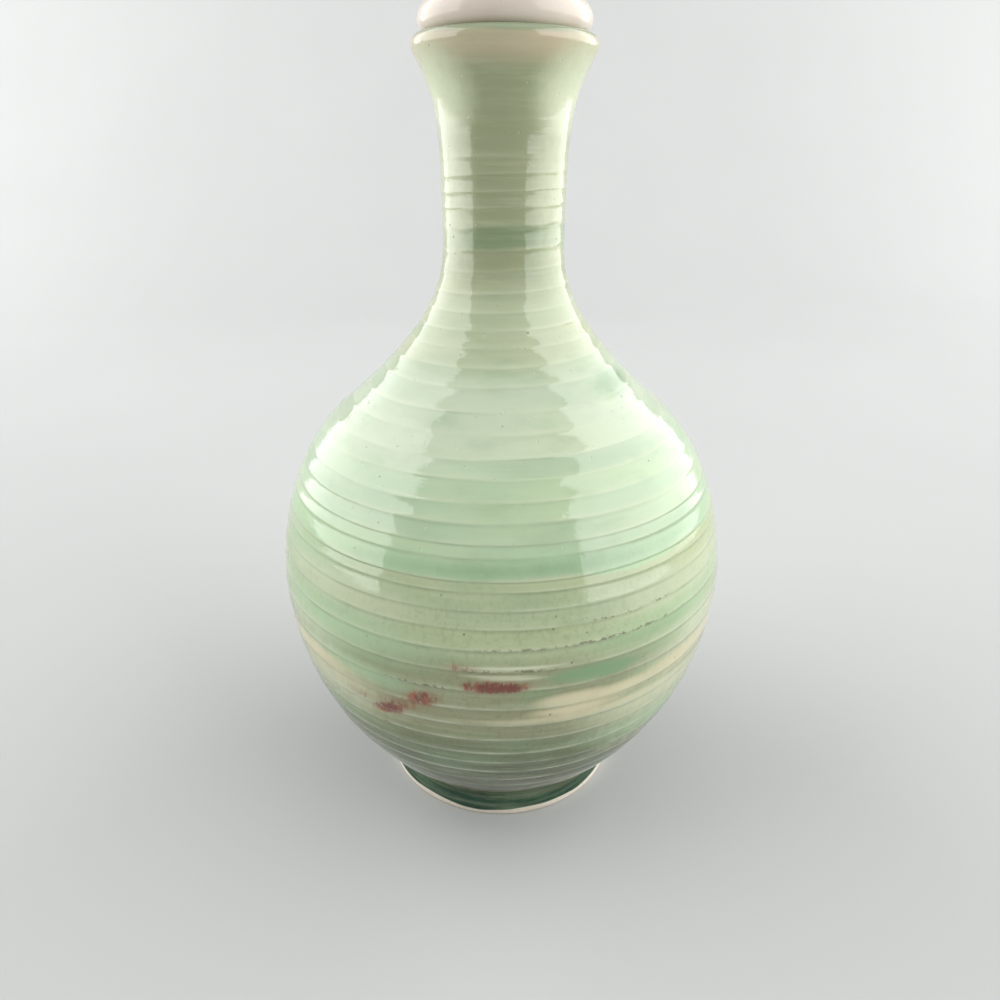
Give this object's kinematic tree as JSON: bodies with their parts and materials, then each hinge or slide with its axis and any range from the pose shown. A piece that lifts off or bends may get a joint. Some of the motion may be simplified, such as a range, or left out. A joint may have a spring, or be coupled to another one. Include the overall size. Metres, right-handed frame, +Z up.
{
  "type": "ceramic oil lamp",
  "caption": "Thrown bottle-shaped oil lamp in ridged green glaze, with a white porcelain wick holder that lifts out of the flared mouth.",
  "frame": {"origin": "centre of the foot ring's flat underside, on the table", "axes": "+Z up along the bottle's axis, -Y towards the picture's camera, +X to the right in the picture"},
  "size_m": [0.1505, 0.1506, 0.263],
  "materials": {
    "celadon_glaze": "glossy grey-green celadon glaze over stepped throwing ridges, bare clay on the foot ring",
    "porcelain": "glossy warm white glaze",
    "cork": "cut cork",
    "brass": "turned, lightly worn",
    "fibre": "pressed red-brown fibre",
    "wick_yarn": "braided cotton round a glass-fibre core"
  },
  "bodies": {
    "bottle_body": {"bottle": "celadon_glaze"},
    "sleeve": {"cork_sleeve": "cork"},
    "holder": {"wick_holder": "porcelain", "wick_tube": "brass", "tube_nut": "brass", "flange_washer": "fibre", "stem_washer": "fibre"},
    "wick_body": {"wick": "wick_yarn"}
  },
  "joints": [
    {"name": "holder_lift", "type": "slide", "parent": "bottle_body", "child": "sleeve", "axis": [0, 0, 1], "range_m": [0, 0.25]},
    {"name": "holder_turn", "type": "hinge", "parent": "sleeve", "child": "holder", "pos_m": [0, 0, 0.21], "axis": [0, 0, 1], "continuous": true},
    {"name": "wick_feed", "type": "slide", "parent": "holder", "child": "wick_body", "axis": [0, 0, 1], "range_m": [-0.004, 0.02]}
  ]
}
